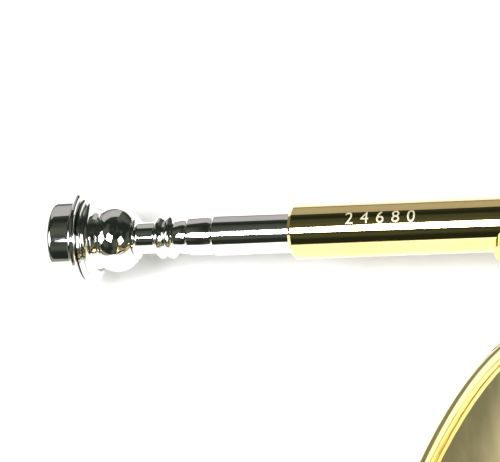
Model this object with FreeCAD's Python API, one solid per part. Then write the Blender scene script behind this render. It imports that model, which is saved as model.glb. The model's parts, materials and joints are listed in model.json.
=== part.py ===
"""French horn with three rotary valves, lying bell side up on its valve caps and bell rim.

Millimetres, +Z up. The corpus is laid out about the axis of its large coil, with the leadpipe running
along +X on the +Y side. The finished parts are moved so that the origin is the middle of the footprint.
"""
import FreeCAD, Part
import math
import os

V = FreeCAD.Vector

# ---- driving dimensions -------------------------------------------------------------------------
CORPUS_R = 117.0            # centreline radius of the bell tail's coil
RIM_WIRE_R = 148.5          # centreline radius of the wire in the bell rim
RIM_BEAD_R = 1.5
BELL_TILT = 21.73           # bell axis above the corpus plane, degrees
BELL_AZIMUTH = 190.05       # heading of the bell axis, degrees
BELL_AXIS = 211.7           # rim plane back to where the axis meets the coil
BELL_JOINT = 180.0          # rim plane back to the joint of flare and tail
FLARE_OFFSET = 25.0         # bell profile: radius = rim * (offset / (offset + s)) ** power
FLARE_POWER = 0.8
LIP_SET_BACK = 1.1          # flare edge behind the wire's centre plane
SHEET = 0.7
TAIL_JOINT = 24             # centreline point where the lower and upper tail tubes meet
LOWER_Z = 9.3               # centreline height of the lower coils
VALVE_Z = 26.0              # centreline height of the valve ports and the main tuning slide
SLIDE_Z = VALVE_Z
LEAD_Z = 44.0               # leadpipe where it runs level
LEAD_Y = 129.1
LEAD_SLOPE = 6.86           # rise of the leadpipe from the receiver, degrees
RECEIVER = V(-261.4, LEAD_Y, 26.1)
RECEIVER_R = 6.6
RECEIVER_LENGTH = 64.0
LEAD_R = 6.3                # leadpipe past its taper
TUBE_R = 6.5                # slide legs, bows and branches
TUBE_WALL = 0.6
OUTER_R = 7.2               # outer slide tubes
SLIDE_FIT = 0.05            # radial clearance of slides, rotors and pins
FERRULE_R = 7.2
LEG_A_Y = -139.1
LEG_B_Y = -109.1
VALVE_X = 35.0
VALVE_Y = {1: 46.0, 2: 0.0, 3: -46.0}
SLIDE_END_X = {1: -34.0, 2: -8.0, 3: -52.0}
CASING_R = 15.5
ROTOR_R = 12.45
PORT_R = 4.6                # bore of the rotor passages
SHAFT_R = 3.0
PIN_THROW = 5.5             # stop arm pin from the rotor axis
PIN_R = 1.2
HINGE_X = 82.0
HINGE_Z = 21.0
DROP_ARM = 31.0             # hinge axis up to the link pin
LEVER_SWING = 2 * math.degrees(math.asin(PIN_THROW * math.sin(math.radians(45)) / DROP_ARM))
ROD_R = 2.0
LINK_SIDE = PIN_THROW * math.sin(math.radians(45))
PADDLE_Y = {1: 24.0, 2: 1.0, 3: -22.0}
SPRING_Y = {1: 34.5, 2: -6.5, 3: -34.0}
POSTS_Y = (57.5, 13.5, -13.0, -54.0)
PLATE_LOW = LOWER_Z + 6.75  # underside of the long hinge plate
PADDLE_TIP_X = 185.0
MAIN_END_X = -85.0

# ---- places worked out from them ----------------------------------------------------------------
slope = math.radians(LEAD_SLOPE)
tilt = math.radians(BELL_TILT)
azimuth = math.radians(BELL_AZIMUTH)
LEAD_DIR = V(math.cos(slope), 0, math.sin(slope))
BELL_DIR = V(math.cos(tilt) * math.cos(azimuth), math.cos(tilt) * math.sin(azimuth), math.sin(tilt))
RIM_Z = RIM_WIRE_R * math.cos(tilt) + RIM_BEAD_R
TANGENT_ANGLE = BELL_AZIMUTH - 270.0
TAIL_Z = RIM_Z - BELL_AXIS * math.sin(tilt)
TANGENT = V(CORPUS_R * math.cos(math.radians(TANGENT_ANGLE)),
            CORPUS_R * math.sin(math.radians(TANGENT_ANGLE)), TAIL_Z)
RIM = TANGENT + BELL_DIR * BELL_AXIS
MOUTHPIECE_OUT = 60.5       # receiver end to the rim of the mouthpiece
FLANGE_R = 12.15
CUP_RIM_R = 10.0
TIP = RECEIVER - LEAD_DIR * MOUTHPIECE_OUT
X_MIN = TIP.x - CUP_RIM_R * math.sin(slope)
Y_MIN = RIM.y - RIM_WIRE_R * math.sqrt(1 - BELL_DIR.y ** 2) - RIM_BEAD_R
ORIGIN = V((X_MIN + PADDLE_TIP_X) / 2, (Y_MIN + LEAD_Y + FLANGE_R) / 2, 0)


# ---- general shapes -----------------------------------------------------------------------------
def turned(profile, origin, direction):
    """Solid of revolution: profile holds (distance along the axis, radius) corners."""
    outline = Part.makePolygon([V(r, 0, a) for a, r in profile] + [V(profile[0][1], 0, profile[0][0])])
    solid = Part.Face(outline).revolve(V(0, 0, 0), V(0, 0, 1), 360)
    solid = Part.Solid(solid) if solid.ShapeType != "Solid" else solid
    solid.Placement = FreeCAD.Placement(V(origin), FreeCAD.Rotation(V(0, 0, 1), V(direction)))
    return solid


def rod(start, end, radius):
    line = V(end) - V(start)
    return Part.makeCylinder(radius, line.Length, V(start), line)


def sleeve(start, end, inner, outer):
    return rod(start, end, outer).cut(rod(start, end, inner))


def block(low, high):
    size = V(high) - V(low)
    return Part.makeBox(size.x, size.y, size.z, V(low))


def cut_all(shape, tools):
    for tool in tools:
        shape = shape.cut(tool)
    return shape


def fused(shapes):
    whole = shapes[0]
    for shape in shapes[1:]:
        whole = whole.fuse(shape)
    return whole.removeSplitter()


class Path:
    """Centreline of straight runs and tangent arcs."""

    def __init__(self, start, heading):
        self.point = V(start)
        self.heading = V(heading).normalize()
        self.start = (V(self.point), V(self.heading))
        self.edges = []

    def run(self, length):
        end = self.point + self.heading * length
        self.edges.append(Part.LineSegment(self.point, end).toShape())
        self.point = end
        return self

    def turn(self, degrees, radius, axis=V(0, 0, 1)):
        side = 1 if degrees > 0 else -1
        centre = self.point + axis.cross(self.heading) * (radius * side)
        spoke = self.point - centre
        half = FreeCAD.Rotation(axis, degrees / 2).multVec(spoke)
        full = FreeCAD.Rotation(axis, degrees).multVec(spoke)
        self.edges.append(Part.Arc(self.point, centre + half, centre + full).toShape())
        self.point = centre + full
        self.heading = FreeCAD.Rotation(axis, degrees).multVec(self.heading)
        return self

    def solid(self, radius):
        ring = Part.Wire(Part.makeCircle(radius, *self.start))
        return Part.Wire(self.edges).makePipeShell([ring], True, False)

    def tube(self, radius, wall=TUBE_WALL):
        return self.solid(radius).cut(self.solid(radius - wall))


def rings_along(points, radii, first, last):
    """Circles that stand square to a curved centreline."""
    rings = []
    for i, point in enumerate(points):
        if i == 0:
            tangent = V(first)
        elif i == len(points) - 1:
            tangent = V(last)
        else:
            tangent = points[i + 1] - points[i - 1]
        tangent.normalize()
        side = tangent.cross(V(0, 0, 1)).normalize()
        ring = Part.Circle(V(0, 0, 0), V(0, 0, 1), radii[i]).toShape()
        ring.Placement = FreeCAD.Placement(point, FreeCAD.Rotation(side, side.cross(tangent), tangent, "ZXY"))
        rings.append(Part.Wire(ring))
    return rings


def skin(points, radii, first, last):
    return Part.makeLoft(rings_along(points, radii, first, last), True, False)


def curved_tube(points, radii, wall, first, last):
    """Hollow loft, closed by a flat ring at each end."""
    outer = rings_along(points, radii, first, last)
    inner = rings_along(points, [r - wall for r in radii], first, last)
    faces = Part.makeLoft(outer, False, False).Faces + Part.makeLoft(inner, False, False).Faces
    for end in (0, -1):
        disc = Part.Face(outer[end])
        faces += disc.cut(Part.Face(inner[end])).Faces
    shell = Part.makeShell(faces)
    shell.sewShape()
    solid = Part.Solid(shell.Shells[0] if shell.ShapeType != "Shell" else shell)
    solid.fix(0.001, 0.001, 0.001)
    if solid.Volume < 0:
        solid.reverse()
    return solid


def smooth(t):
    t = min(max(t, 0.0), 1.0)
    return t * t * (3 - 2 * t)


def on_circle(centre, radius, angle, z=0.0):
    a = math.radians(angle)
    return V(centre[0] + radius * math.cos(a), centre[1] + radius * math.sin(a), z)


def steps(first, last, size):
    count = max(2, int(math.ceil(abs(last - first) / size)))
    return [first + (last - first) * i / count for i in range(count + 1)]


# ---- bell and bell tail -------------------------------------------------------------------------
def bell_radius(s):
    return RIM_WIRE_R * (FLARE_OFFSET / (FLARE_OFFSET + s)) ** FLARE_POWER


def bell_flare():
    back = BELL_JOINT
    stations = [back * (i / 24.0) ** 2 for i in range(25)]
    inner = []
    outer = []
    for s in stations:
        grade = -FLARE_POWER * bell_radius(s) / (FLARE_OFFSET + s)
        length = math.hypot(1, grade)
        step_s = SHEET / 2 * -grade / length
        step_r = SHEET / 2 / length
        depth = s + LIP_SET_BACK * (1 - s / back)
        outer.append(V(bell_radius(s) + step_r, 0, -(depth + step_s)))
        inner.append(V(bell_radius(s) - step_r, 0, -(depth - step_s)))
    curves = []
    for points in (outer, inner):
        curve = Part.BSplineCurve()
        curve.interpolate(points)
        curves.append(curve.toShape())
    lip = Part.LineSegment(outer[0], inner[0]).toShape()
    joint = Part.LineSegment(outer[-1], inner[-1]).toShape()
    outline = Part.Wire(Part.__sortEdges__([curves[0], joint, curves[1], lip]))
    flare = Part.Face(outline).revolve(V(0, 0, 0), V(0, 0, 1), 360)
    flare = Part.Solid(flare) if flare.ShapeType != "Solid" else flare
    flare.Placement = FreeCAD.Placement(RIM, FreeCAD.Rotation(V(0, 0, 1), BELL_DIR))
    return flare.cut(rim_wire())


def rim_wire():
    return Part.makeTorus(RIM_WIRE_R, RIM_BEAD_R, RIM, BELL_DIR)


def bell_point(s):
    return RIM - BELL_DIR * s


def tail_centreline():
    """The coil from the first branch to the bell joint, as points and outer radii."""
    fillet = 20.0
    points = []
    for angle in steps(-90.0 + 360.0, TANGENT_ANGLE, 8.0):
        level = coil_height(angle)
        reach = (angle - TANGENT_ANGLE) * math.pi / 180 * CORPUS_R
        if reach < fillet:
            level += math.tan(tilt) * (fillet - reach) ** 2 / (4 * fillet)
        radius = CORPUS_R + 3.0 * smooth((angle - 60.0) / 210.0)
        points.append(on_circle((0, 0), radius, angle, level))
    flat = V(BELL_DIR.x, BELL_DIR.y, 0).normalize()
    run_out = (BELL_AXIS - BELL_JOINT) * math.cos(tilt)
    for reach in (8.0, 15.0, 22.0, run_out):
        rise = reach * math.tan(tilt)
        if reach < fillet:
            rise = math.tan(tilt) * (fillet + reach) ** 2 / (4 * fillet)
        points.append(TANGENT + flat * reach + V(0, 0, rise))
    distance = BELL_JOINT
    radii = [bell_radius(distance)]
    for i in range(len(points) - 1, 0, -1):
        distance += (points[i] - points[i - 1]).Length
        radii.insert(0, bell_radius(distance))
    return points, radii


def coil_height(angle):
    """Height of the tail: angle runs from 270 (bottom) by 180 (left) and 90 (top) down to -80."""
    low = LOWER_Z + 2.4 * smooth((270.0 - angle) / 90.0)
    return low + (TAIL_Z - low) * smooth((180.0 - angle) / 90.0)


def tail_tube(start, end):
    """Stretch of the tail between two of its centreline points."""
    tangents = []
    for i in (start, end):
        if i == 0:
            tangents.append(V(-1, 0, 0))
        elif i == len(tail_points) - 1:
            tangents.append(BELL_DIR)
        else:
            tangents.append(tail_points[i + 1] - tail_points[i - 1])
    return curved_tube(tail_points[start:end + 1], tail_radii[start:end + 1], SHEET, *tangents)


def tail_piece(angle):
    """Solid stretch of the tail about one angle, to fit a brace against."""
    near = min(range(len(tail_points)), key=lambda i: (tail_points[i] - on_circle((0, 0), CORPUS_R, angle,
                                                                               coil_height(angle))).Length)
    points = tail_points[near - 3:near + 4]
    radii = tail_radii[near - 3:near + 4]
    return skin(points, radii, points[1] - points[0], points[-1] - points[-2])


def bell_ferrule():
    ends = [BELL_JOINT - 7.0, BELL_JOINT - 2.5, BELL_JOINT + 2.5, BELL_JOINT + 7.0]
    outside = [(-s, bell_radius(s) + h) for s, h in zip(ends, (1.0, 1.7, 1.7, 1.0))]
    inside = [(-s, bell_radius(s) + SHEET / 2 + 0.05) for s in reversed(ends)]
    return turned(outside + inside, RIM, BELL_DIR)


# ---- first branch -------------------------------------------------------------------------------
def lower_level_arc(arcs, size=9.0):
    points = []
    for middle, radius, first, last in arcs:
        points.extend(on_circle(middle, radius, angle, LOWER_Z) for angle in steps(first, last, size)[:-1])
    points.append(on_circle(arcs[-1][0], arcs[-1][1], arcs[-1][3], LOWER_Z))
    return points


def first_branch(hollow=True):
    """From valve 1 down to the lower level and round to the bottom of the corpus."""
    bend = 19.4
    joint = 37.8
    centre = (VALVE_X + 11.0 + bend * math.sqrt(0.5), VALVE_Y[1] + 11.0 - bend * math.sqrt(0.5))
    points = [V(VALVE_X + 9.0, VALVE_Y[1] + 9.0, VALVE_Z)]
    points.extend(on_circle(centre, bend, angle, VALVE_Z) for angle in steps(135.0, joint, 12.0))
    points.extend(on_circle((0, -3.0), 95.0, angle, VALVE_Z) for angle in steps(joint, -90.0, 9.0)[1:])
    travelled = 0.0
    for i in range(1, len(points)):
        travelled += V(points[i].x - points[i - 1].x, points[i].y - points[i - 1].y, 0).Length
        points[i].z += (LOWER_Z - VALVE_Z) * smooth((travelled - 4.0) / 44.0)
    radii = [TUBE_R] * len(points)
    ends = V(1, 1, 0), V(-1, 0, 0)
    if hollow:
        return curved_tube(points, radii, TUBE_WALL, *ends).cut(casing_core(1))
    return skin(points, radii, *ends)


def second_branch(hollow=True):
    """Once and a half round the lower level, to the start of the bell tail."""
    points = lower_level_arc([((0, 3.5), 101.5, -90.0, -270.0), ((0, -7.5), 112.5, -270.0, -450.0)])
    last = len(points) - 1
    radii = [TUBE_R + (tail_radii[0] - TUBE_R) * i / last for i in range(len(points))]
    ends = V(-1, 0, 0), V(-1, 0, 0)
    if hollow:
        return curved_tube(points, radii, TUBE_WALL, *ends)
    return skin(points, radii, *ends)


def branch_ferrules():
    """Sleeves over the joints of the branches and of the leadpipe."""
    seat = tail_radii[0]
    tail_end = V(0, -120.0, LOWER_Z)
    low_end = V(0, -98.0, LOWER_Z)
    lead_end = V(0, LEAD_Y, LEAD_Z)
    reach = V(4.5, 0, 0)
    return [sleeve(tail_end + reach, tail_end - reach, seat + 0.15, seat + 0.7),
            sleeve(low_end + reach, low_end - reach, TUBE_R + 0.15, TUBE_R + 0.75),
            sleeve(lead_end + reach, lead_end - reach, LEAD_R + 0.1, LEAD_R + 0.8)]


# ---- leadpipe and mouthpiece --------------------------------------------------------------------
def leadpipe():
    """Tapered run out of the receiver, a gentle bend to level and a straight run to the coil."""
    entry = 22.0
    start = RECEIVER + LEAD_DIR * entry
    bend_r = 500.0
    half = bend_r * math.tan(slope / 2)
    climb = (LEAD_Z - RECEIVER.z) / math.sin(slope)
    straight = climb - half - entry
    outer = Part.makeCone(5.2, LEAD_R, straight, start, LEAD_DIR)
    inner = Part.makeCone(4.6, LEAD_R - TUBE_WALL, straight, start, LEAD_DIR)
    bend = Path(start + LEAD_DIR * straight, LEAD_DIR).turn(LEAD_SLOPE, bend_r, V(0, 1, 0))
    bend.run(-bend.point.x)
    return outer.fuse(bend.solid(LEAD_R)).cut(inner.fuse(bend.solid(LEAD_R - TUBE_WALL)))


def lead_coil_point(angle):
    drop = smooth((-10.0 - angle) / 75.0)
    return on_circle((0, -5.0), 134.1, angle, LEAD_Z + (SLIDE_Z - LEAD_Z) * drop)


def leadpipe_coil(hollow=True):
    """Half turn round the outside of the corpus, down to the main slide."""
    points = [lead_coil_point(angle) for angle in steps(90.0, -90.0, 7.5)] + [V(-8.0, LEG_A_Y, SLIDE_Z)]
    radii = [LEAD_R] * len(points)
    ends = V(1, 0, 0), V(-1, 0, 0)
    if hollow:
        return curved_tube(points, radii, TUBE_WALL, *ends)
    return skin(points, radii, *ends)


def receiver():
    """Sleeve that takes the mouthpiece shank; distances run inward from its mouth."""
    profile = [(0.0, RECEIVER_R - 0.7), (0.9, RECEIVER_R), (RECEIVER_LENGTH - 1.0, RECEIVER_R),
               (RECEIVER_LENGTH, 6.0), (RECEIVER_LENGTH, 5.74),
               (22.0, 5.22), (22.0, 4.5), (0.0, 4.95)]
    return turned(profile, RECEIVER, LEAD_DIR)


def mouthpiece_cup():
    """Distances run outward from the receiver mouth; the shank reaches 19 mm inside."""
    outside = [(-19.0, 4.45), (2.0, 4.92), (19.9, 4.98), (20.2, 4.62), (20.9, 4.62), (21.2, 4.72),
               (26.4, 4.62), (26.7, 4.25), (27.4, 4.25), (27.7, 4.1), (29.8, 4.0), (30.2, 4.7),
               (31.3, 5.35), (32.2, 4.7), (32.9, 4.7), (33.8, 5.25), (34.8, 4.4), (35.2, 3.9),
               (39.4, 3.85), (39.7, 4.9), (40.1, 5.1), (40.4, 4.6)]
    ball = [(45.4 - 6.8 * math.cos(math.radians(a)), 8.1 * math.sin(math.radians(a)))
            for a in range(44, 140, 8)]
    top = [(50.2, 7.9), (50.6, 9.6), (51.0, 9.9), (51.4, 9.4), (51.6, 8.8), (51.9, 10.6), (52.3, 10.9),
           (52.7, 10.4), (52.8, 9.4)]
    cavity = [(52.8, 8.3), (50.0, 7.2), (47.0, 5.8), (44.0, 3.9), (41.0, 2.6), (35.0, 2.2), (-19.0, 3.7)]
    return turned(outside + ball + top + cavity, RECEIVER, LEAD_DIR * -1)


def mouthpiece_rim():
    profile = [(52.8, 8.3), (52.8, 11.3), (53.2, FLANGE_R), (53.7, FLANGE_R), (54.4, 11.0),
               (54.9, CUP_RIM_R), (59.3, CUP_RIM_R), (60.1, 9.8), (60.5, 9.3), (60.3, 8.8), (59.0, 8.5)]
    return turned(profile, RECEIVER, LEAD_DIR * -1)


# ---- main tuning slide --------------------------------------------------------------------------
def slide_outer(first_x, last_x, y, z):
    return sleeve(V(first_x, y, z), V(last_x, y, z), TUBE_R + SLIDE_FIT, OUTER_R)


def slide_joint_ring(y, tube_r):
    """Ring over the joint of a fixed tube with the wider outer tube of the main slide."""
    profile = [(0.0, tube_r + 0.1), (0.0, 7.6), (0.6, 8.0), (9.4, 8.0), (10.0, 7.6), (10.0, OUTER_R),
               (5.0, OUTER_R), (5.0, tube_r + 0.1)]
    return turned(profile, V(-3.0, y, SLIDE_Z), V(-1, 0, 0))


def slide_bow(inside_x, end_x, y_high, y_low, z):
    """U of tube: both legs start inside the outer tubes and the bow closes them at the far end."""
    gap = 7.5
    leg = inside_x - end_x + gap
    path = Path(V(inside_x, y_high, z), V(-1, 0, 0)).run(leg)
    path.turn(180.0, (y_high - y_low) / 2).run(leg)
    return path.tube(TUBE_R)


def slide_ferrules(end_x, y_high, y_low, z):
    start = end_x - 0.4
    rings = []
    for y in (y_high, y_low):
        profile = [(0.0, TUBE_R), (0.0, 7.0), (0.4, FERRULE_R), (6.6, FERRULE_R), (7.0, 6.9),
                   (7.0, TUBE_R)]
        rings.append(turned(profile, V(start, y, z), V(-1, 0, 0)))
    return rings


def return_crook():
    """From the main slide round to the lowest port of valve 3."""
    bend = 28.0
    drop = VALVE_Y[3] - 11.0 - LEG_B_Y
    corner_x = VALVE_X + 11.0 + drop
    tangent = bend * math.tan(math.radians(67.5))
    path = Path(V(-8.0, LEG_B_Y, SLIDE_Z), V(1, 0, 0)).run(corner_x - tangent + 8.0)
    path.turn(135.0, bend).run(drop * math.sqrt(2) - tangent + 3.0)
    return path.tube(TUBE_R).cut(casing_core(3))


# ---- valves -------------------------------------------------------------------------------------
def valve_axis(k, z=0.0):
    return V(VALVE_X, VALVE_Y[k], z)


def casing_core(k):
    return Part.makeCylinder(CASING_R, 50, valve_axis(k, -2.0))


def port(k, angle):
    """Straight bore through the casing wall, square to the valve axis."""
    a = math.radians(angle)
    out = V(math.cos(a), math.sin(a), 0)
    return rod(valve_axis(k, VALVE_Z) + out * 8.0, valve_axis(k, VALVE_Z) + out * 20.0, TUBE_R - TUBE_WALL)


def valve_casing(k):
    body = sleeve(valve_axis(k, 4.0), valve_axis(k, 43.0), ROTOR_R + SLIDE_FIT, CASING_R)
    for angle in (45, 135, 225, 315):
        body = body.cut(port(k, angle))
    return body


def valve_cap(k):
    profile = [(0.0, 0.0), (0.0, 15.6), (1.0, 16.6), (8.0, 16.6), (9.0, 16.1), (9.0, CASING_R),
               (2.5, CASING_R), (2.5, 0.0)]
    cap = turned(profile, valve_axis(k), V(0, 0, 1))
    slot = block(valve_axis(k) + V(-9, -1.2, -1), valve_axis(k) + V(9, 1.2, 1.0))
    return cap.cut(slot)


def lower_bearing(k):
    profile = [(6.0, SHAFT_R + SLIDE_FIT), (10.0, SHAFT_R + SLIDE_FIT), (10.0, ROTOR_R + SLIDE_FIT),
               (6.0, ROTOR_R + SLIDE_FIT)]
    return turned(profile, valve_axis(k), V(0, 0, 1))


def bearing_plate(k):
    bore = SHAFT_R + SLIDE_FIT
    profile = [(39.2, bore), (39.2, ROTOR_R + SLIDE_FIT), (43.0, ROTOR_R + SLIDE_FIT), (43.0, CASING_R),
               (45.0, CASING_R), (45.5, 15.0), (45.5, 6.0), (47.0, 5.4), (47.0, bore)]
    return turned(profile, valve_axis(k), V(0, 0, 1))


def rotor(k):
    profile = [(6.6, 0.0), (6.6, SHAFT_R), (10.2, SHAFT_R), (10.2, ROTOR_R), (39.0, ROTOR_R),
               (39.0, SHAFT_R), (50.4, SHAFT_R), (50.4, 2.3), (51.4, 2.0), (51.4, 0.0)]
    body = turned(profile, valve_axis(k), V(0, 0, 1))
    for side in (1, -1):
        bend = ROTOR_R + 0.3
        corner = valve_axis(k, VALVE_Z) + V(side * bend * math.sqrt(2), 0, 0)
        body = body.cut(Part.makeTorus(bend, PORT_R, corner, V(0, 0, 1)))
    return body


def stop_arm(k):
    low, high = 47.4, 50.4
    hub = sleeve(valve_axis(k, low), valve_axis(k, high), SHAFT_R, 4.9)
    pin_at = valve_axis(k, low) + V(LINK_SIDE, LINK_SIDE, 0)
    boss = rod(pin_at, pin_at + V(0, 0, high - low), 2.3)
    wing = block(V(4.0, -1.8, low), V(12.8, 1.8, high))
    wing.Placement = FreeCAD.Placement(valve_axis(k), FreeCAD.Rotation(V(0, 0, 1), 225))
    arm = fused([hub, boss, wing]).cut(rod(valve_axis(k, low), valve_axis(k, high), SHAFT_R))
    pin = rod(pin_at, pin_at + V(0, 0, 54.4 - low), PIN_R)
    head = rod(pin_at + V(0, 0, 53.5 - low), pin_at + V(0, 0, 54.5 - low), 2.1)
    return fused([arm, pin, head])


def cork_plate(k):
    ring = sleeve(valve_axis(k, 45.5), valve_axis(k, 46.7), 7.5, 14.8)
    keep = block(valve_axis(k) + V(-15, -15, 45), valve_axis(k) + V(15, -2.5, 47))
    return ring.common(keep)


def cork(k, angle):
    at = on_circle((VALVE_X, VALVE_Y[k]), 11.0, angle)
    return Part.makeCylinder(2.0, 3.6, V(at.x, at.y, 46.7))


def knuckle(upper, lower):
    corner = V(VALVE_X + 11.0, VALVE_Y[upper] - 11.0, VALVE_Z)
    lead = 3.0
    heading = V(1, -1, 0).normalize()
    path = Path(corner - heading * lead, heading).run(lead).turn(-90.0, 12 * math.sqrt(2)).run(lead)
    return path.tube(TUBE_R).cut(casing_core(upper)).cut(casing_core(lower))


def valve_slide_outer(k, side):
    """Stub from a casing port that turns to run along -X and ends in the outer slide tube."""
    lead = 3.0
    heading = V(-1, side, 0).normalize()
    start = V(VALVE_X - 11.0, VALVE_Y[k] + 11.0 * side, VALVE_Z)
    bend = 4.5 * math.sqrt(2) / math.tan(math.radians(22.5))
    path = Path(start - heading * lead, heading).run(lead).turn(45.0 * side, bend)
    stub = path.tube(TUBE_R).cut(casing_core(k))
    end = path.point
    length = end.x - SLIDE_END_X[k]
    profile = [(0.0, TUBE_R - TUBE_WALL), (0.0, OUTER_R), (length, OUTER_R), (length, TUBE_R + SLIDE_FIT),
               (1.5, TUBE_R + SLIDE_FIT), (1.5, TUBE_R - TUBE_WALL)]
    return [stub, turned(profile, end, V(-1, 0, 0))]


# ---- levers and links ---------------------------------------------------------------------------
def lever(k):
    """Built with the drop arm upright, then leaned to its place at rest."""
    pin_y = VALVE_Y[k] + LINK_SIDE
    key_y = PADDLE_Y[k]
    low_y = min(pin_y - 4.4, key_y - 3.0, SPRING_Y[k] - 4.0)
    high_y = max(pin_y - 1.8, key_y + 3.0)
    axis = V(HINGE_X, 0, HINGE_Z)
    hub = rod(V(HINGE_X, low_y, HINGE_Z), V(HINGE_X, high_y, HINGE_Z), 3.5)
    pin_z = HINGE_Z + DROP_ARM
    arm = block(V(HINGE_X - 2.4, pin_y - 4.4, HINGE_Z), V(HINGE_X + 2.4, pin_y - 1.9, pin_z))
    eye = rod(V(HINGE_X, pin_y - 4.4, pin_z), V(HINGE_X, pin_y - 1.9, pin_z), 2.6)
    pin = rod(V(HINGE_X, pin_y - 3.0, pin_z), V(HINGE_X, pin_y + 4.4, pin_z), PIN_R)
    head = rod(V(HINGE_X, pin_y + 3.4, pin_z), V(HINGE_X, pin_y + 4.4, pin_z), 2.0)
    drop = fused([arm, eye, pin, head])
    drop.rotate(axis, V(0, 1, 0), LEVER_SWING / 2)
    key = block(V(HINGE_X, key_y - 2.5, HINGE_Z - 2.0), V(153.0, key_y + 2.5, HINGE_Z + 1.4))
    paddle_x = PADDLE_TIP_X - 18.0
    outline = Part.Ellipse(V(paddle_x, key_y, 0), 18.0, 9.5).toShape()
    plate = Part.Face(Part.Wire(outline)).extrude(V(0, 0, 2.6))
    plate.translate(V(0, 0, HINGE_Z - 2.0))
    bore = rod(V(HINGE_X, low_y - 1, HINGE_Z), V(HINGE_X, high_y + 1, HINGE_Z), ROD_R + SLIDE_FIT)
    return fused([hub, drop, key, plate]).cut(bore)


def link(k):
    """Bar from the stop arm pin to the lever; its far hole has play for the lever's arc."""
    near = valve_axis(k) + V(LINK_SIDE, LINK_SIDE, 0)
    far_x = HINGE_X + LINK_SIDE
    level = HINGE_Z + DROP_ARM * math.cos(math.radians(LEVER_SWING / 2))
    first = rod(near + V(0, 0, 50.8), near + V(0, 0, 53.2), 2.7)
    last = rod(V(far_x, near.y - 1.3, level), V(far_x, near.y + 1.3, level), 3.2)
    bar = rod(V(near.x, near.y, level), V(far_x, near.y, level), 1.15)
    whole = fused([first, last, bar])
    whole = whole.cut(rod(near + V(0, 0, 50), near + V(0, 0, 54), PIN_R + SLIDE_FIT))
    return whole.cut(rod(V(far_x, near.y - 2, level), V(far_x, near.y + 2, level), PIN_R + 0.6))


def hinge_posts():
    pieces = []
    for i, y in enumerate(POSTS_Y):
        foot = PLATE_LOW + 0.8 if i else PLATE_LOW + 1.4
        post = block(V(HINGE_X - 2.6, y - 1.4, foot), V(HINGE_X + 2.6, y + 1.4, HINGE_Z))
        eye = rod(V(HINGE_X, y - 1.4, HINGE_Z), V(HINGE_X, y + 1.4, HINGE_Z), 3.2)
        bore = rod(V(HINGE_X, y - 2, HINGE_Z), V(HINGE_X, y + 2, HINGE_Z), ROD_R)
        pieces.append(fused([post, eye]).cut(bore))
    return pieces


def hinge_plate():
    long_plate = block(V(HINGE_X - 3.0, -57.0, PLATE_LOW), V(HINGE_X + 14.0, 18.0, PLATE_LOW + 0.8))
    short_plate = block(V(HINGE_X - 2.0, 55.9, PLATE_LOW + 0.6), V(HINGE_X + 9.0, 71.0, PLATE_LOW + 1.4))
    return [long_plate, short_plate]


def hinge_rod():
    ends = V(HINGE_X, POSTS_Y[-1] - 2.4, HINGE_Z), V(HINGE_X, POSTS_Y[0] + 2.4, HINGE_Z)
    return rod(ends[0], ends[1], ROD_R)


def lever_springs():
    """Return springs wound on the hinge tubes, as closed sleeves of the wound wire."""
    springs = []
    for k in VALVE_Y:
        middle = V(HINGE_X, SPRING_Y[k], HINGE_Z)
        springs.append(sleeve(middle - V(0, 3, 0), middle + V(0, 3, 0), 3.55, 4.05))
    return springs


# ---- water key ----------------------------------------------------------------------------------
KEY_AT = V(MAIN_END_X - 4.0, LEG_A_Y - 8.6, SLIDE_Z)
KEY_PIN = KEY_AT + V(-14.0, -1.4, 0)


def water_key_spout():
    at = V(KEY_AT.x, LEG_A_Y - FERRULE_R + 0.2, SLIDE_Z)
    return rod(at, at + V(0, -1.6, 0), 2.4)


def water_key_saddle():
    cheeks = [block(V(KEY_PIN.x - 2.2, KEY_PIN.y - 2.0, z), V(KEY_PIN.x + 2.2, LEG_A_Y + 4.0, z + 1.3))
              for z in (SLIDE_Z - 3.9, SLIDE_Z + 2.6)]
    pin = rod(KEY_PIN + V(0, 0, -4.6), KEY_PIN + V(0, 0, 4.6), 0.9)
    bow = slide_solid()
    return fused(cheeks + [pin]).cut(bow)


def slide_solid():
    path = Path(V(MAIN_END_X + 2, LEG_A_Y, SLIDE_Z), V(-1, 0, 0)).run(2 + 7.5)
    path.turn(-180.0, (LEG_B_Y - LEG_A_Y) / 2).run(9.5)
    return path.solid(TUBE_R)


def water_key_lever():
    cup = rod(KEY_AT + V(0, -2.6, 0), KEY_AT + V(0, -1.2, 0), 3.3)
    bar = block(V(KEY_PIN.x - 12.0, KEY_PIN.y - 1.0, SLIDE_Z - 1.4),
                V(KEY_AT.x, KEY_PIN.y + 0.2, SLIDE_Z + 1.4))
    eye = rod(KEY_PIN + V(0, 0, -2.3), KEY_PIN + V(0, 0, 2.3), 1.9)
    touch = rod(KEY_PIN + V(-14.0, -0.9, 0), KEY_PIN + V(-14.0, 0.3, 0), 4.0)
    whole = fused([cup, bar, eye, touch])
    return whole.cut(rod(KEY_PIN + V(0, 0, -3), KEY_PIN + V(0, 0, 3), 0.95))


def water_key_cork():
    return rod(KEY_AT + V(0, -1.2, 0), KEY_AT + V(0, -0.25, 0), 2.8)


# ---- braces and hook ----------------------------------------------------------------------------
def brace(start, end, trims, radius=2.2, foot=5.5):
    """Rod with a round foot at each end, shaped to the tubes that it stands on."""
    line = (V(end) - V(start)).normalize()
    piece = rod(start, end, radius)
    whole = max(cut_all(piece, trims).Solids, key=lambda s: s.Volume)
    spots = [(v.Point - V(start)).dot(line) for v in whole.Vertexes]
    feet = []
    for sign, reach in ((-1, min(spots)), (1, max(spots))):
        tip = V(start) + line * reach
        feet.append(rod(tip - line * (sign * 1.6), tip + line * (sign * 3.0), foot))
    solid = fused([rod(start, end, radius)] + feet)
    return max(cut_all(solid, trims).Solids, key=lambda s: s.Volume)


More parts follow.
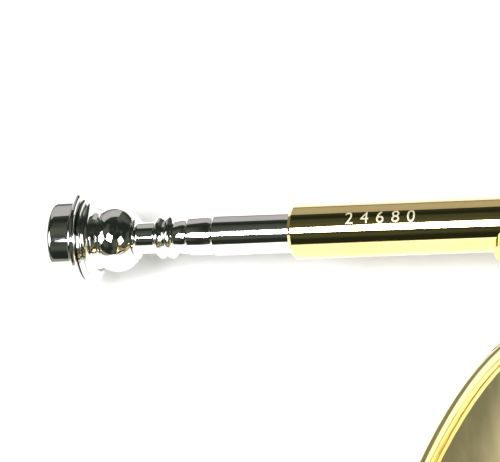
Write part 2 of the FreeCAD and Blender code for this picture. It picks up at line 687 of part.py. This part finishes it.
def pinky_hook():
    """Hook for the little finger, standing out from the leadpipe beside the levers."""
    root = on_circle((0, -5.0), 134.1, -24.0, LEAD_Z)
    out = V(math.cos(math.radians(-24)), math.sin(math.radians(-24)), 0)
    path = Path(root + out * 4.0 + V(0, 0, 1.5), out).run(12.0).turn(165.0, 10.5, V(out.y, -out.x, 0) * -1)
    return path.solid(2.2)


# ---- the instrument -----------------------------------------------------------------------------
tail_points, tail_radii = tail_centreline()


def build():
    parts = {}
    parts["bell_flare"] = [bell_flare()]
    parts["bell_rim_wire"] = [rim_wire()]
    parts["bell_tail_lower"] = [tail_tube(0, TAIL_JOINT)]
    parts["bell_tail_upper"] = [tail_tube(TAIL_JOINT, len(tail_points) - 1)]
    branches = [first_branch(False), second_branch(False)]
    parts["first_branch"] = [first_branch()]
    parts["second_branch"] = [second_branch()]
    parts["ferrules"] = branch_ferrules() + [bell_ferrule(), slide_joint_ring(LEG_B_Y, TUBE_R),
                                             slide_joint_ring(LEG_A_Y, LEAD_R)]
    parts["leadpipe"] = [leadpipe()]
    parts["leadpipe_coil"] = [leadpipe_coil()]
    parts["mouthpiece_receiver"] = [receiver()]
    parts["mouthpiece_cup"] = [mouthpiece_cup()]
    parts["mouthpiece_rim"] = [mouthpiece_rim()]

    legs = (LEG_A_Y, LEG_B_Y)
    parts["main_slide_outer_tubes"] = [slide_outer(-8.0, MAIN_END_X, y, SLIDE_Z) for y in legs]
    parts["main_slide_return_crook"] = [return_crook()]
    parts["main_slide_bow"] = [slide_bow(-22.0, MAIN_END_X, LEG_B_Y, LEG_A_Y, SLIDE_Z)]
    parts["main_slide_bow_ferrules"] = slide_ferrules(MAIN_END_X, LEG_B_Y, LEG_A_Y, SLIDE_Z)
    brace_x = MAIN_END_X - 3.9
    bar = rod(V(brace_x, LEG_B_Y, SLIDE_Z), V(brace_x, LEG_A_Y, SLIDE_Z), 2.0)
    for y in legs:
        bar = bar.cut(rod(V(brace_x + 9, y, SLIDE_Z), V(brace_x - 9, y, SLIDE_Z), FERRULE_R))
    parts["main_slide_brace"] = [bar]
    spout = water_key_spout().cut(rod(V(brace_x + 9, LEG_A_Y, SLIDE_Z), V(brace_x - 9, LEG_A_Y, SLIDE_Z),
                                      FERRULE_R))
    parts["water_key_saddle"] = [water_key_saddle(), spout]
    parts["water_key_lever"] = [water_key_lever()]
    parts["water_key_cork"] = [water_key_cork()]

    for k in VALVE_Y:
        name = "valve_%d_" % k
        y_high = VALVE_Y[k] + 15.5
        y_low = VALVE_Y[k] - 15.5
        parts[name + "casing"] = [valve_casing(k)]
        parts[name + "cap"] = [valve_cap(k)]
        parts[name + "bearing_plate"] = [bearing_plate(k)]
        parts[name + "rotor"] = [rotor(k)]
        parts[name + "stop_arm"] = [stop_arm(k)]
        parts[name + "slide_outer_tubes"] = valve_slide_outer(k, 1) + valve_slide_outer(k, -1)
        start_x = VALVE_X - 11.0 - 10.86 - 3.0
        parts[name + "slide"] = [slide_bow(start_x, SLIDE_END_X[k], y_high, y_low, VALVE_Z)]
        parts[name + "slide_ferrules"] = slide_ferrules(SLIDE_END_X[k], y_high, y_low, VALVE_Z)
        parts["lever_%d" % k] = [lever(k)]
        parts["link_%d" % k] = [link(k)]
    parts["valve_lower_bearings"] = [lower_bearing(k) for k in VALVE_Y]
    parts["stop_cork_plates"] = [cork_plate(k) for k in VALVE_Y]
    parts["stop_corks"] = [cork(k, angle) for k in VALVE_Y for angle in (203.1, 336.9)]
    parts["valve_knuckles"] = [knuckle(1, 2), knuckle(2, 3)]
    parts["lever_hinge_rod"] = [hinge_rod()]
    parts["lever_hinge_saddles"] = hinge_posts() + [cut_all(plate, branches) for plate in hinge_plate()]
    parts["lever_springs"] = lever_springs()

    coil = leadpipe_coil(False)
    casings = [Part.makeCylinder(CASING_R, 40, valve_axis(k, 3.0)) for k in (1, 2, 3)]
    low = LOWER_Z + 3.6
    flare = turned([(-s, bell_radius(s) + 0.5) for s in range(60, 181, 4)] + [(-180, 0), (-60, 0)],
                   RIM, BELL_DIR)
    slide_tube = rod(V(-20, LEG_A_Y, SLIDE_Z), V(-70, LEG_A_Y, SLIDE_Z), OUTER_R)
    bell_foot = V(-48.0, LEG_A_Y + 2.0, SLIDE_Z)
    parts["corpus_braces"] = [
        brace(V(VALVE_X, VALVE_Y[1], low), V(VALVE_X, 99.4, low), [casings[0]] + branches, 2.0, 2.9),
        brace(V(VALVE_X, 0, low), V(94.9, 0, low), [casings[1]] + branches, 2.0, 2.9),
        brace(V(VALVE_X, VALVE_Y[3], low), V(VALVE_X, -91.3, low), [casings[2]] + branches, 2.0, 2.9),
        brace(on_circle((0, 0), 104.0, 135.0, LOWER_Z), on_circle((0, 0), 117.5, 135.0, 36.0),
              branches + [tail_piece(135.0)]),
        brace(on_circle((0, 0), 118.0, -50.0, LOWER_Z), on_circle((0, 0), CORPUS_R, -50.0, TAIL_Z),
              branches + [tail_piece(-50.0)]),
        brace(on_circle((0, -7.5), 112.5, 48.0, LOWER_Z), lead_coil_point(48.0), branches + [coil]),
        brace(bell_foot, bell_foot + V(0, 0, 50.0), [slide_tube, flare], 2.2, 5.0)]
    parts["pinky_hook"] = [pinky_hook().cut(coil)]
    saddle_at = RECEIVER + LEAD_DIR * 56.0
    inward = V(0, -1, 0)
    saddle = rod(saddle_at, saddle_at + inward * 9.0, 5.0)
    arm_end = on_circle((0, 0), 119.0, 150.0, coil_height(150.0))
    arm = rod(saddle_at + inward * 8.0, arm_end, 2.5)
    receiver_body = rod(RECEIVER, RECEIVER + LEAD_DIR * RECEIVER_LENGTH, RECEIVER_R)
    long_brace = fused([saddle, arm]).cut(receiver_body).cut(tail_piece(150.0))
    parts["receiver_brace"] = [max(long_brace.Solids, key=lambda s: s.Volume)]
    return parts


def save(parts):
    os.makedirs("parts", exist_ok=True)
    for name, solids in parts.items():
        pieces = []
        for solid in solids:
            pieces.extend(solid.Solids)
        shape = pieces[0] if len(pieces) == 1 else Part.makeCompound(pieces)
        shape.translate(ORIGIN * -1)
        shape.exportStep("parts/%s.step" % name)
        print(name, len(pieces), "solids", round(shape.Volume), "mm3", "valid", shape.isValid())


save(build())
print("origin", ORIGIN, "lever swing", LEVER_SWING, "rim", RIM, "tail height", TAIL_Z)
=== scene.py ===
"""French horn: materials, small details, floor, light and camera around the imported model."""
import bpy
import bmesh
import json
import math
from mathutils import Matrix, Vector


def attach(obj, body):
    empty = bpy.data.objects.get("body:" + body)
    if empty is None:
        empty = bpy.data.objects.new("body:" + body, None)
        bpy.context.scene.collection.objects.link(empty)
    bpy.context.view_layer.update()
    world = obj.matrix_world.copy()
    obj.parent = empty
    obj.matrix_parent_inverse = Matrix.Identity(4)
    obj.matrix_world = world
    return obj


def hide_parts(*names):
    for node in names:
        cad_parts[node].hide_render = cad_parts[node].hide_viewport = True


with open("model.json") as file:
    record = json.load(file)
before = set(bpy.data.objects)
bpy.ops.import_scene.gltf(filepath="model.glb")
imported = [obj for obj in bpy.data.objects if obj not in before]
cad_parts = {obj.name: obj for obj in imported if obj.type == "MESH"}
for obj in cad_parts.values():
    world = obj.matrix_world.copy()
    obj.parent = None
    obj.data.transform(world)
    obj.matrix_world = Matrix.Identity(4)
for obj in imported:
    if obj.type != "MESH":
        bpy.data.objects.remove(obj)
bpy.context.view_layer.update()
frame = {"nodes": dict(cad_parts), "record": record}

MM = 0.001
nodes = frame["nodes"]
mounts = {mount["name"]: mount for mount in frame["record"]["mounts"]}

# ---- places taken from the frame ----------------------------------------------------------------
RIM_FACE = Vector(mounts["mouthpiece_rim_face"]["pos_m"])
LEAD_DIR = -Vector(mounts["mouthpiece_rim_face"]["axis"]).normalized()
MOUTHPIECE_STANDS_OUT = 60.5        # from the receiver's mouth to the rim's face, in millimetres
RECEIVER = RIM_FACE + LEAD_DIR * MOUTHPIECE_STANDS_OUT * MM
RECEIVER_R = 6.6 * MM


# ---- materials ----------------------------------------------------------------------------------
EVEN = (1.0, 1.0, 1.0)              # a noise that isn't drawn out in any direction
SHADE_START_X = -288 * MM           # the floor's white ends here, just past the mouthpiece
SHADE_END_X = -315 * MM             # and from here on it is plain grey
FLOOR_GLOW = 0.24                   # makes the near floor an overexposed white


def new_material(name):
    """Material with one principled shader, its node tree and that shader."""
    material = bpy.data.materials.new(name)
    material.use_nodes = True
    tree = material.node_tree
    tree.nodes.clear()
    output = tree.nodes.new("ShaderNodeOutputMaterial")
    shader = tree.nodes.new("ShaderNodeBsdfPrincipled")
    tree.links.new(shader.outputs["BSDF"], output.inputs["Surface"])
    return material, tree, shader


def node(tree, kind, **values):
    """Node with values given to its inputs, or else to its settings."""
    made = tree.nodes.new(kind)
    for key, value in values.items():
        if key in made.inputs:
            made.inputs[key].default_value = value
        else:
            setattr(made, key, value)
    return made


def stretched_noise(tree, scale, stretch, detail=4.0):
    """Noise in object space, drawn out along one direction."""
    place = tree.nodes.new("ShaderNodeTexCoord")
    mapping = node(tree, "ShaderNodeMapping")
    mapping.inputs["Scale"].default_value = stretch
    noise = node(tree, "ShaderNodeTexNoise", Scale=scale, Detail=detail)
    tree.links.new(place.outputs["Object"], mapping.inputs["Vector"])
    tree.links.new(mapping.outputs["Vector"], noise.inputs["Vector"])
    return noise


def ramp(tree, source, low, high, low_value, high_value):
    """Source stretched from the span low..high to low_value..high_value, and held at both ends."""
    span = node(tree, "ShaderNodeMapRange")
    span.inputs["From Min"].default_value = low
    span.inputs["From Max"].default_value = high
    span.inputs["To Min"].default_value = low_value
    span.inputs["To Max"].default_value = high_value
    tree.links.new(source, span.inputs["Value"])
    return span.outputs["Result"]


def colour_mix(tree, factor):
    """The two colour inputs and the output of a mix driven by a factor."""
    mix = node(tree, "ShaderNodeMix", data_type="RGBA")
    tree.links.new(factor, mix.inputs["Factor"])
    first, second = [socket for socket in mix.inputs if socket.type == "RGBA"]
    result = [socket for socket in mix.outputs if socket.type == "RGBA"][0]
    return first, second, result


def mixed_colour(tree, factor, first_colour, second_colour):
    """Colour that goes from one plain colour to another with a factor."""
    first, second, result = colour_mix(tree, factor)
    first.default_value = (*first_colour, 1.0)
    second.default_value = (*second_colour, 1.0)
    return result


def add_bump(tree, shader, height, strength, distance):
    """Small relief in a shader's surface."""
    bump = node(tree, "ShaderNodeBump", Strength=strength, Distance=distance)
    tree.links.new(height, bump.inputs["Height"])
    tree.links.new(bump.outputs["Normal"], shader.inputs["Normal"])


def polished_metal(name, clean, aged, smooth_to, rough_to, coat=0.0, wave=0.02):
    """Polished metal: tarnish clouds, wiped smears in the gloss and a slight hand-polished wave."""
    material, tree, shader = new_material(name)
    shader.inputs["Metallic"].default_value = 1.0
    clouds = stretched_noise(tree, 38.0, EVEN, 6.0)
    factor = ramp(tree, clouds.outputs["Fac"], 0.46, 0.72, 0.0, 1.0)
    tree.links.new(mixed_colour(tree, factor, clean, aged), shader.inputs["Base Color"])
    smears = stretched_noise(tree, 160.0, (0.35, 1.0, 1.0), 5.0)
    gloss = ramp(tree, smears.outputs["Fac"], 0.40, 0.75, smooth_to, rough_to)
    tree.links.new(gloss, shader.inputs["Roughness"])
    ripple = stretched_noise(tree, 55.0, EVEN, 1.0)
    add_bump(tree, shader, ripple.outputs["Fac"], wave, 1.0 * MM)
    if coat:
        shader.inputs["Coat Weight"].default_value = coat
        shader.inputs["Coat Roughness"].default_value = 0.03
        shader.inputs["Coat IOR"].default_value = 1.5
    return material


def cork_material():
    """Dull cork with fine dark grain."""
    material, tree, shader = new_material("natural_cork")
    grain = stretched_noise(tree, 900.0, EVEN, 8.0)
    factor = ramp(tree, grain.outputs["Fac"], 0.40, 0.62, 0.0, 1.0)
    colour = mixed_colour(tree, factor, (0.48, 0.30, 0.16), (0.24, 0.13, 0.06))
    tree.links.new(colour, shader.inputs["Base Color"])
    shader.inputs["Roughness"].default_value = 0.85
    add_bump(tree, shader, grain.outputs["Fac"], 0.5, 0.3 * MM)
    return material


def engraved_material():
    """Bright cut metal with fine tool marks, for the number on the sleeve."""
    material, tree, shader = new_material("engraved_cut")
    shader.inputs["Metallic"].default_value = 0.6
    marks = stretched_noise(tree, 2600.0, (1.0, 0.3, 1.0), 3.0)
    factor = ramp(tree, marks.outputs["Fac"], 0.35, 0.65, 0.0, 1.0)
    colour = mixed_colour(tree, factor, (0.98, 0.93, 0.72), (0.80, 0.72, 0.46))
    tree.links.new(colour, shader.inputs["Base Color"])
    shader.inputs["Roughness"].default_value = 0.55
    return material


def floor_material():
    """Plain white table that falls into plain grey shade just past the mouthpiece."""
    material, tree, shader = new_material("pale_table")
    place = tree.nodes.new("ShaderNodeTexCoord")
    split = tree.nodes.new("ShaderNodeSeparateXYZ")
    tree.links.new(place.outputs["Object"], split.inputs["Vector"])
    fade = ramp(tree, split.outputs["X"], SHADE_START_X, SHADE_END_X, 0.0, 1.0)
    paper = stretched_noise(tree, 60.0, EVEN, 6.0)
    grain = ramp(tree, paper.outputs["Fac"], 0.35, 0.65, 0.0, 1.0)
    sheet = mixed_colour(tree, grain, (0.93, 0.93, 0.92), (0.90, 0.90, 0.885))
    patches = stretched_noise(tree, 30.0, EVEN, 2.0)
    patch = ramp(tree, patches.outputs["Fac"], 0.35, 0.65, 0.0, 1.0)
    shaded = mixed_colour(tree, patch, (0.135, 0.140, 0.118), (0.155, 0.160, 0.135))
    near, far, result = colour_mix(tree, fade)
    tree.links.new(sheet, near)
    tree.links.new(shaded, far)
    tree.links.new(result, shader.inputs["Base Color"])
    tree.links.new(result, shader.inputs["Emission Color"])
    shader.inputs["Emission Strength"].default_value = FLOOR_GLOW
    shader.inputs["Roughness"].default_value = 0.6
    shader.inputs["Specular IOR Level"].default_value = 0.0
    return material


GOLD = polished_metal("gold_lacquer", (0.91, 0.74, 0.33), (0.86, 0.67, 0.27), 0.035, 0.10, coat=0.6)
SILVER = polished_metal("silver_plate", (0.93, 0.935, 0.93), (0.86, 0.86, 0.84), 0.03, 0.09, wave=0.03)
NICKEL = polished_metal("nickel_silver", (0.80, 0.78, 0.71), (0.70, 0.67, 0.58), 0.06, 0.20)
ROTOR = polished_metal("bare_brass", (0.78, 0.62, 0.34), (0.62, 0.45, 0.22), 0.12, 0.32)
STEEL = polished_metal("polished_steel", (0.62, 0.63, 0.65), (0.52, 0.52, 0.53), 0.10, 0.28)
CORK = cork_material()
ENGRAVED = engraved_material()
FINISH = {"gold_lacquer": GOLD, "silver_plate": SILVER, "nickel_silver": NICKEL, "rotor_brass": ROTOR,
          "steel": STEEL, "cork": CORK}


def dress_nodes():
    """Give every CAD node the material of its slot."""
    slots = {part["node"]: part["material_slot"] for part in frame["record"]["subparts"]}
    for name, obj in nodes.items():
        obj.data.materials.clear()
        obj.data.materials.append(FINISH[slots[name]])


dress_nodes()


# ---- small details ------------------------------------------------------------------------------
ORIGIN = RECEIVER - Vector((-261.4, 129.1, 26.1)) * MM      # where the corpus axis meets the floor
VALVE_X = 35.0                      # these places are in millimetres from ORIGIN
VALVE_Y = {1: 46.0, 2: 0.0, 3: -46.0}
ROTOR_TOP_Z = 51.4
HINGE_X, HINGE_Z = 82.0, 21.0
HINGE_ENDS = (("hinge_rod_screw_1", 59.9, 1), ("hinge_rod_screw_2", -56.4, -1))     # name, y, outward
SPRING_Y = {1: 34.5, 2: -6.5, 3: -34.0}
SPRING_LENGTH = 5.2
SPRING_R = 3.95
SPRING_TURNS = 6
SPRING_WIRE_R = 0.36 * MM
KNURL_Z = (1.6, 4.4, 7.2)           # the lower edge, the middle and the upper edge of the knurled band
KNURL_RIDGES = 72
KNURL_VALLEY_R, KNURL_RIDGE_R = 16.5, 16.85
NUMBER_SIZE = 4.4                   # size of the type, in millimetres
NUMBER_SPACING = 1.75
NUMBER_START = 14.6 * MM            # from the receiver's mouth
NUMBER_ANGLE = math.radians(27.0)   # round the sleeve, up from the line that faces the camera
NUMBER_MIDDLE = 1.6                 # half the digits' height
NUMBER_RELIEF = 0.03 * MM


def at(x, y, z):
    """Point given in millimetres from ORIGIN."""
    return ORIGIN + Vector((x, y, z)) * MM


def add_mesh(name, verts, faces, material, body, smooth=True):
    """Visual piece that rides a body and stands in a material slot."""
    data = bpy.data.meshes.new(name)
    data.from_pydata([tuple(v) for v in verts], [], faces)
    data.validate()
    data.update()
    for polygon in data.polygons:
        polygon.use_smooth = smooth
    data.materials.append(material)
    obj = bpy.data.objects.new(name, data)
    bpy.context.collection.objects.link(obj)
    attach(obj, body)
    return obj


def axis_frame(direction):
    """Three square axes, the last along a direction."""
    z = Vector(direction).normalized()
    x = Vector((0, 0, 1)).cross(z) if abs(z.z) < 0.9 else Vector((1, 0, 0)).cross(z)
    x.normalize()
    return x, z.cross(x), z


def tube_along(points, radius, sides=10, closed=False):
    """Vertices and faces of a round tube through a list of points."""
    verts, faces = [], []
    count = len(points)
    for i, point in enumerate(points):
        ahead = points[(i + 1) % count] if closed else points[min(i + 1, count - 1)]
        behind = points[i - 1] if closed or i else points[0]
        x, y, _ = axis_frame(ahead - behind)
        for k in range(sides):
            a = 2 * math.pi * k / sides
            verts.append(point + (x * math.cos(a) + y * math.sin(a)) * radius)
    rings = count if closed else count - 1
    for i in range(rings):
        for k in range(sides):
            a, b = i * sides + k, i * sides + (k + 1) % sides
            c, d = ((i + 1) % count) * sides + (k + 1) % sides, ((i + 1) % count) * sides + k
            faces.append((a, b, c, d))
    if not closed:
        faces.append(tuple(range(sides))[::-1])
        faces.append(tuple(range((count - 1) * sides, count * sides)))
    return verts, faces


def lathe(profile, origin, direction, sides=48):
    """Closed ring turned round a direction from (distance, radius) corners in millimetres."""
    x, y, z = axis_frame(direction)
    verts, faces = [], []
    count = len(profile)
    for k in range(sides):
        a = 2 * math.pi * k / sides
        out = x * math.cos(a) + y * math.sin(a)
        verts.extend(origin + z * (d * MM) + out * (r * MM) for d, r in profile)
    for k in range(sides):
        for i in range(count):
            j = (i + 1) % count
            m = (k + 1) % sides
            faces.append((k * count + i, k * count + j, m * count + j, m * count + i))
    return verts, faces


def add_mouthpiece():
    """Mouthpiece turned finely enough for the close view, with its two grooves cut a little deeper.

    Distances run outward from the receiver's mouth, so the shank inside it has negative ones.
    """
    ball = [(45.4 - 6.8 * math.cos(math.radians(a)), 8.1 * math.sin(math.radians(a)))
            for a in range(44, 138, 3)]
    shank = [(-19.0, 4.45), (2.0, 4.92), (19.6, 4.98), (20.2, 4.5), (20.6, 4.5), (21.2, 4.72),
             (26.2, 4.62), (26.8, 4.1), (27.1, 4.1), (27.6, 4.25), (29.8, 4.0)]
    beads = [(30.1, 4.45), (30.5, 5.1), (31.0, 5.33), (31.6, 5.2), (32.0, 4.8), (32.5, 4.6), (32.9, 4.8),
             (33.3, 5.15), (33.8, 5.24), (34.3, 5.0), (34.7, 4.5), (35.2, 3.9)]
    collar = [(39.4, 3.85), (39.6, 4.7), (39.9, 5.05), (40.2, 5.0), (40.4, 4.6)]
    flange = [(49.9, 7.9), (50.2, 8.6), (50.6, 9.6), (51.0, 9.88), (51.3, 9.6), (51.5, 8.9), (51.7, 9.9),
              (51.9, 10.6), (52.3, 10.88), (52.6, 10.5), (52.75, 9.4), (52.75, 8.3)]
    bore = [(50.0, 7.2), (47.0, 5.8), (44.0, 3.9), (41.0, 2.6), (35.0, 2.2), (-19.0, 3.7)]
    cup = shank + beads + collar + ball + flange + bore
    rim = [(52.8, 8.3), (52.8, 11.3), (52.95, 11.9), (53.2, 12.12), (53.7, 12.12), (54.0, 11.8),
           (54.4, 11.0), (54.7, 10.3), (55.1, 9.98), (59.0, 9.98), (59.6, 9.95), (60.0, 9.82),
           (60.3, 9.6), (60.48, 9.3), (60.4, 9.0), (60.1, 8.75), (59.0, 8.5)]
    for name, profile, stands_for in (("turned_mouthpiece_cup", cup, "mouthpiece_cup"),
                                      ("turned_mouthpiece_rim", rim, "mouthpiece_rim")):
        verts, faces = lathe(profile, RECEIVER, -LEAD_DIR, 192)
        piece = add_mesh(name, verts, faces, SILVER, "mouthpiece")
        piece.data.set_sharp_from_angle(angle=math.radians(34))
        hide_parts(stands_for)


def slotted_screw(name, origin, direction, radius, height, body):
    """Cheese head with a cut across it, built as two half-moons on a thin base."""
    x, y, z = axis_frame(direction)
    start = math.asin(0.16)             # the cut is 0.16 of the head's width
    verts, faces = [], []
    for side in (1, -1):
        angles = [start + (math.pi - 2 * start) * i / 14 for i in range(15)]
        outline = [(radius * math.cos(a), side * radius * math.sin(a)) for a in angles]
        base = len(verts)
        for level, inset in ((0.0, 1.0), (height * 0.8, 1.0), (height, 0.9)):
            for u, v in outline:
                verts.append(origin + (x * u * inset + y * v * inset + z * level) * MM)
        count = len(outline)
        for level in range(2):
            for i in range(count):
                j = (i + 1) % count
                a, b = base + level * count + i, base + level * count + j
                faces.append((a, b, b + count, a + count))
        faces.append(tuple(base + 2 * count + i for i in range(count)))
    base = len(verts)
    sides = 28
    for level in (0.0, height * 0.35):
        for i in range(sides):
            a = 2 * math.pi * i / sides
            verts.append(origin + (x * radius * math.cos(a) + y * radius * math.sin(a) + z * level) * MM)
    for i in range(sides):
        j = (i + 1) % sides
        faces.append((base + i, base + j, base + sides + j, base + sides + i))
    faces.append(tuple(base + sides + i for i in range(sides)))
    return add_mesh(name, verts, faces, STEEL, body, smooth=False)


def add_springs():
    """Wound return springs round the lever tubes."""
    steps_in_turn = 20
    steps = SPRING_TURNS * steps_in_turn
    for k, y in SPRING_Y.items():
        points = []
        for i in range(steps + 1):
            a = 2 * math.pi * i / steps_in_turn
            along = y - SPRING_LENGTH / 2 + SPRING_LENGTH * i / steps
            points.append(at(HINGE_X + SPRING_R * math.cos(a), along, HINGE_Z + SPRING_R * math.sin(a)))
        verts, faces = tube_along(points, SPRING_WIRE_R, 8)
        add_mesh("lever_spring_%d" % k, verts, faces, STEEL, "horn")
    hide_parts("lever_springs")


def add_cap_knurls():
    """Band of upright ridges round each valve cap."""
    count = KNURL_RIDGES * 2
    for k, y in VALVE_Y.items():
        verts, faces = [], []
        for z in KNURL_Z:
            for i in range(count):
                a = 2 * math.pi * i / count
                r = KNURL_RIDGE_R if i % 2 else KNURL_VALLEY_R
                verts.append(at(VALVE_X + r * math.cos(a), y + r * math.sin(a), z))
        for row in range(len(KNURL_Z) - 1):
            for i in range(count):
                j = (i + 1) % count
                low, high = row * count, (row + 1) * count
                faces.append((low + i, low + j, high + j, high + i))
        add_mesh("cap_knurl_%d" % k, verts, faces, GOLD, "horn", smooth=False)


def add_screws():
    """Slotted screws at both ends of the hinge rod and on top of each rotor's shaft."""
    for name, y, side in HINGE_ENDS:
        slotted_screw(name, at(HINGE_X, y, HINGE_Z), (0, side, 0), 2.6, 1.2, "horn")
    for k, y in VALVE_Y.items():
        top = at(VALVE_X, y, ROTOR_TOP_Z)
        slotted_screw("rotor_screw_%d" % k, top, (0, 0, 1), 2.0, 0.7, "rotor_%d" % k)


def add_number():
    """Five plain digits where a number would be engraved, wrapped round the sleeve."""
    curve = bpy.data.curves.new("number", "FONT")
    curve.body = "24680"
    curve.size = NUMBER_SIZE
    curve.space_character = NUMBER_SPACING
    curve.resolution_u = 6
    text = bpy.data.objects.new("number_text", curve)
    bpy.context.collection.objects.link(text)
    bpy.context.view_layer.update()
    flat = bpy.data.meshes.new_from_object(text)
    bpy.data.objects.remove(text)
    work = bmesh.new()
    work.from_mesh(flat)
    bmesh.ops.triangulate(work, faces=work.faces)
    bmesh.ops.subdivide_edges(work, edges=work.edges, cuts=3, use_grid_fill=True)
    work.to_mesh(flat)
    work.free()
    _, _, back = camera_axes()
    side = LEAD_DIR.cross(back).normalized()
    face_out = side.cross(LEAD_DIR)
    verts = []
    for vertex in flat.vertices:
        angle = NUMBER_ANGLE + (vertex.co.y - NUMBER_MIDDLE) * MM / RECEIVER_R
        out = face_out * math.cos(angle) - side * math.sin(angle)
        along = NUMBER_START + vertex.co.x * MM
        verts.append(RECEIVER + LEAD_DIR * along + out * (RECEIVER_R + NUMBER_RELIEF))
    faces = [tuple(polygon.vertices) for polygon in flat.polygons]
    add_mesh("engraved_number", verts, faces, ENGRAVED, "horn", smooth=False)


# ---- floor, light and camera --------------------------------------------------------------------
CAMERA_ELEVATION = math.radians(53.04)
CAMERA_TURN = math.radians(19.99)
CAMERA_ROLL = math.radians(-14.28)
CAMERA_DISTANCE = 926.5 * MM        # from the receiver's mouth
CAMERA_LENS = 274.8
CAMERA_SIDE = 10.68 * MM            # how far right of the picture's middle the receiver's mouth stands
CAMERA_RISE = -0.3 * MM             # and how far above it
FLOOR_HALF_SIZE = 2.2               # metres, as are all the lights' places and sizes
WINDOW_AWAY = 1.5
WINDOW_PAST = 0.25
WINDOW_RISE = 0.13
WARM_WHITE = (1.0, 0.93, 0.92)


def camera_axes():
    """The camera's right, up and backward directions."""
    back = Vector((math.cos(CAMERA_ELEVATION) * math.sin(CAMERA_TURN),
                   -math.cos(CAMERA_ELEVATION) * math.cos(CAMERA_TURN), math.sin(CAMERA_ELEVATION)))
    right = Vector((0, 0, 1)).cross(back).normalized()
    up = back.cross(right)
    turned_right = right * math.cos(CAMERA_ROLL) + up * math.sin(CAMERA_ROLL)
    turned_up = up * math.cos(CAMERA_ROLL) - right * math.sin(CAMERA_ROLL)
    return turned_right, turned_up, back


def add_camera():
    """Long lens that looks down on the mouthpiece and the receiver."""
    right, up, back = camera_axes()
    data = bpy.data.cameras.new("camera")
    data.lens = CAMERA_LENS
    data.sensor_width = 36.0
    data.clip_end = 20.0
    camera = bpy.data.objects.new("camera", data)
    bpy.context.collection.objects.link(camera)
    place = RECEIVER + back * CAMERA_DISTANCE - right * CAMERA_SIDE - up * CAMERA_RISE
    camera.matrix_world = Matrix(((right.x, up.x, back.x, place.x), (right.y, up.y, back.y, place.y),
                                  (right.z, up.z, back.z, place.z), (0, 0, 0, 1)))
    bpy.context.scene.camera = camera


def add_floor():
    """One flat sheet under the horn."""
    size = FLOOR_HALF_SIZE
    corners = [(-size, -size, 0), (size, -size, 0), (size, size, 0), (-size, size, 0)]
    data = bpy.data.meshes.new("floor")
    data.from_pydata(corners, [], [(0, 1, 2, 3)])
    floor = bpy.data.objects.new("floor", data)
    bpy.context.collection.objects.link(floor)
    data.materials.append(floor_material())


def add_area(name, offset, size, power, colour=(1, 1, 1)):
    """Soft rectangular light at an offset from the receiver's mouth, turned towards it."""
    data = bpy.data.lights.new(name, "AREA")
    data.shape = "RECTANGLE"
    data.size, data.size_y = size
    data.energy = power
    data.color = colour
    light = bpy.data.objects.new(name, data)
    bpy.context.collection.objects.link(light)
    light.rotation_mode = "QUATERNION"
    light.rotation_quaternion = offset.normalized().to_track_quat("Z", "Y")
    light.location = RECEIVER + offset


def room():
    """Dim room: a dark field broken by soft grey-green patches."""
    world = bpy.data.worlds.new("dim_room")
    world.use_nodes = True
    tree = world.node_tree
    background = tree.nodes["Background"]
    place = tree.nodes.new("ShaderNodeTexCoord")
    patches = node(tree, "ShaderNodeTexNoise", Scale=1.7, Detail=1.0)
    tree.links.new(place.outputs["Generated"], patches.inputs["Vector"])
    factor = ramp(tree, patches.outputs["Fac"], 0.42, 0.62, 0.0, 1.0)
    shade = mixed_colour(tree, factor, (0.020, 0.024, 0.019), (0.085, 0.095, 0.072))
    tree.links.new(shade, background.inputs["Color"])
    bpy.context.scene.world = world


def add_lights():
    """Large soft lights, with the window where the receiver's top mirrors it to the camera."""
    _, up, back = camera_axes()
    mirrored = back - LEAD_DIR * (2 * back.dot(LEAD_DIR))
    window = mirrored * WINDOW_AWAY + LEAD_DIR * WINDOW_PAST + up * WINDOW_RISE
    add_area("window", window, (0.66, 0.56), 29.0)
    add_area("far_wall", Vector((-0.85, 2.2, 0.92)), (2.8, 1.9), 7.2, WARM_WHITE)
    add_area("left_card", Vector((-1.3, -0.45, 0.75)), (0.8, 0.7), 5.0)
    add_area("right_card", Vector((1.2, -0.9, 1.1)), (0.7, 0.7), 4.0)
    room()


add_mouthpiece()
add_springs()
add_cap_knurls()
add_screws()
add_number()
add_camera()
add_floor()
add_lights()
bpy.context.scene.view_settings.view_transform = "Standard"
